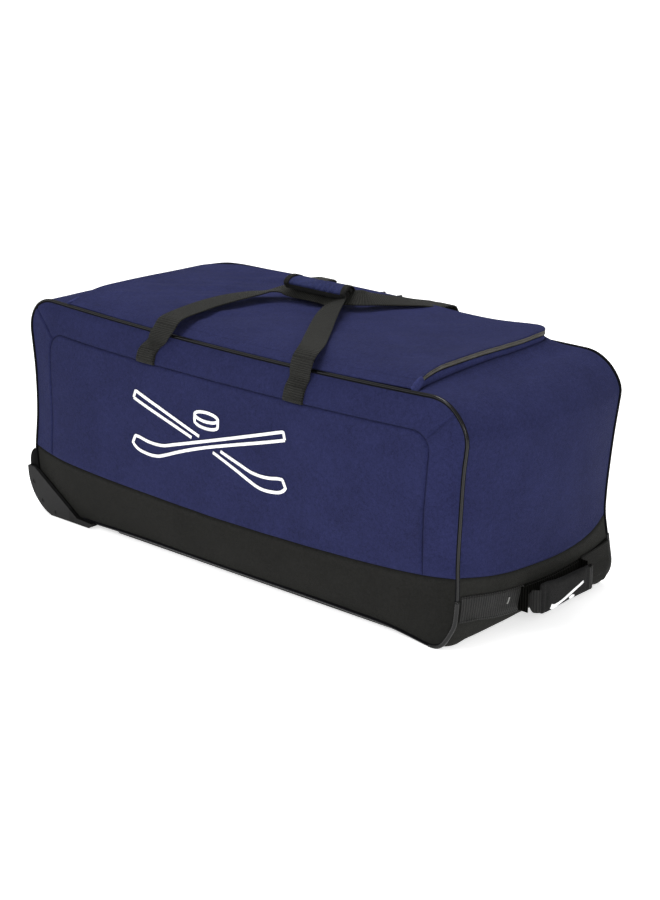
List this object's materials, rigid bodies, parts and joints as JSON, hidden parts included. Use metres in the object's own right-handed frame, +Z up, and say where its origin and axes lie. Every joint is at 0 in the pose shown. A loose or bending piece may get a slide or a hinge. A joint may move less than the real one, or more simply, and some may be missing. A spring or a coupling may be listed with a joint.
{
  "type": "wheeled hockey equipment bag",
  "caption": "Long wheeled equipment duffel with a zipped folding lid, haul straps joined by a padded grip, moulded wheel corners, skid rails and a padded end handle.",
  "frame": {"origin": "on the floor, at the underside of the middle skid rail, under the middle of the bag", "axes": "+X along the bag towards the pull handle, -Y the front face, +Z up"},
  "size_m": [0.986, 0.41, 0.4174],
  "materials": {
    "navy_fabric": "woven polyester",
    "black_fabric": "woven polyester",
    "webbing": "ribbed webbing",
    "piping_vinyl": "satin",
    "zipper_nylon": "satin",
    "slider_metal": "satin",
    "wrap_mesh": "padded mesh",
    "board_plastic": "matte",
    "skid_plastic": "matte",
    "rivet_steel": "satin",
    "housing_plastic": "matte",
    "guard_plastic": "textured",
    "screw_steel": "black oxide",
    "axle_steel": "satin",
    "bearing_steel": "polished",
    "tyre_rubber": "matte",
    "hub_plastic": "satin"
  },
  "bodies": {
    "bag": {"back_border": "navy_fabric", "back_center_panel": "navy_fabric", "back_lower_band": "black_fabric", "back_piping": "piping_vinyl", "back_piping_sleeve": "piping_vinyl", "back_strap_roots": "webbing", "base_board": "board_plastic", "bottom_panel": "black_fabric", "end_band_pull_side": "black_fabric", "end_band_wheel_side": "black_fabric", "end_panel_pull_side": "navy_fabric", "end_panel_wheel_side": "navy_fabric", "end_webbing": "webbing", "front_border": "navy_fabric", "front_center_panel": "navy_fabric", "front_lower_band": "black_fabric", "front_piping": "piping_vinyl", "front_piping_sleeve": "piping_vinyl", "front_strap_roots": "webbing", "guard_screws_back": "screw_steel", "guard_screws_front": "screw_steel", "handle_lugs": "webbing", "handle_patch": "black_fabric", "shell_zipper_coil": "zipper_nylon", "skid_rail_back": "skid_plastic", "skid_rail_front": "skid_plastic", "skid_rail_middle": "skid_plastic", "skid_rivets": "rivet_steel", "top_border": "navy_fabric", "wheel_axle_back": "axle_steel", "wheel_axle_front": "axle_steel", "wheel_guard_back": "guard_plastic", "wheel_guard_front": "guard_plastic", "wheel_housing_back": "housing_plastic", "wheel_housing_front": "housing_plastic", "zipper_end_tabs": "navy_fabric", "zipper_wall": "navy_fabric"},
    "lid_front": {"lid_front_panel": "navy_fabric", "lid_coil_front": "zipper_nylon"},
    "lid_rear": {"lid_rear_panel": "navy_fabric", "lid_coil_rear": "zipper_nylon"},
    "front_strap": {"front_haul_strap": "webbing", "grip_wrap": "wrap_mesh"},
    "back_strap": {"back_haul_strap": "webbing"},
    "slider_left": {"slider_left": "slider_metal"},
    "slider_right": {"slider_right": "slider_metal"},
    "pull_left": {"pull_left": "slider_metal"},
    "pull_right": {"pull_right": "slider_metal"},
    "end_handle": {"end_handle_strap": "webbing", "end_handle_grip": "black_fabric"},
    "wheel_front": {"wheel_tyre_front": "tyre_rubber", "wheel_hub_front": "hub_plastic", "wheel_bearings_front": "bearing_steel", "wheel_spacer_front": "axle_steel"},
    "wheel_back": {"wheel_tyre_back": "tyre_rubber", "wheel_hub_back": "hub_plastic", "wheel_bearings_back": "bearing_steel", "wheel_spacer_back": "axle_steel"}
  },
  "joints": [
    {"name": "lid_open", "type": "hinge", "parent": "bag", "child": "lid_front", "pos_m": [0, -0.18, 0.381], "axis": [1, 0, 0], "range_deg": [0, 95]},
    {"name": "lid_fold", "type": "hinge", "parent": "lid_front", "child": "lid_rear", "pos_m": [0, -0.01888, 0.38155], "axis": [-1, 0, 0], "range_deg": [0, 162]},
    {"name": "front_strap_swing", "type": "hinge", "parent": "bag", "child": "front_strap", "pos_m": [0, -0.19, 0.384], "axis": [1, 0, 0], "range_deg": [0, 228]},
    {"name": "back_strap_swing", "type": "hinge", "parent": "bag", "child": "back_strap", "pos_m": [0, 0.19, 0.384], "axis": [-1, 0, 0], "range_deg": [0, 228]},
    {"name": "slider_left_run", "type": "slide", "parent": "bag", "child": "slider_left", "axis": [-1, 0, 0], "range_m": [0, 0.345]},
    {"name": "slider_right_run", "type": "slide", "parent": "bag", "child": "slider_right", "axis": [1, 0, 0], "range_m": [0, 0.27]},
    {"name": "pull_left_turn", "type": "hinge", "parent": "slider_left", "child": "pull_left", "pos_m": [0.02, 0.15631, 0.39009], "axis": [0, 0.0419, -0.9991], "range_deg": [0, 120]},
    {"name": "pull_right_turn", "type": "hinge", "parent": "slider_right", "child": "pull_right", "pos_m": [0.055, 0.15631, 0.39009], "axis": [0, -0.0419, 0.9991], "range_deg": [0, 120]},
    {"name": "end_handle_lift", "type": "hinge", "parent": "bag", "child": "end_handle", "pos_m": [0.48, 0.009, 0.055], "axis": [0, -1, 0], "range_deg": [0, 50]},
    {"name": "wheel_front_spin", "type": "hinge", "parent": "bag", "child": "wheel_front", "pos_m": [-0.428, -0.1545, 0.038], "axis": [0, 1, 0], "continuous": true},
    {"name": "wheel_back_spin", "type": "hinge", "parent": "bag", "child": "wheel_back", "pos_m": [-0.428, 0.1545, 0.038], "axis": [0, 1, 0], "continuous": true}
  ],
  "couplings": [
    {"joint": "lid_fold", "follows": "lid_open", "ratio": 1.7},
    {"joint": "front_strap_swing", "follows": "lid_open", "ratio": 2.4},
    {"joint": "back_strap_swing", "follows": "lid_open", "ratio": 2.4}
  ]
}
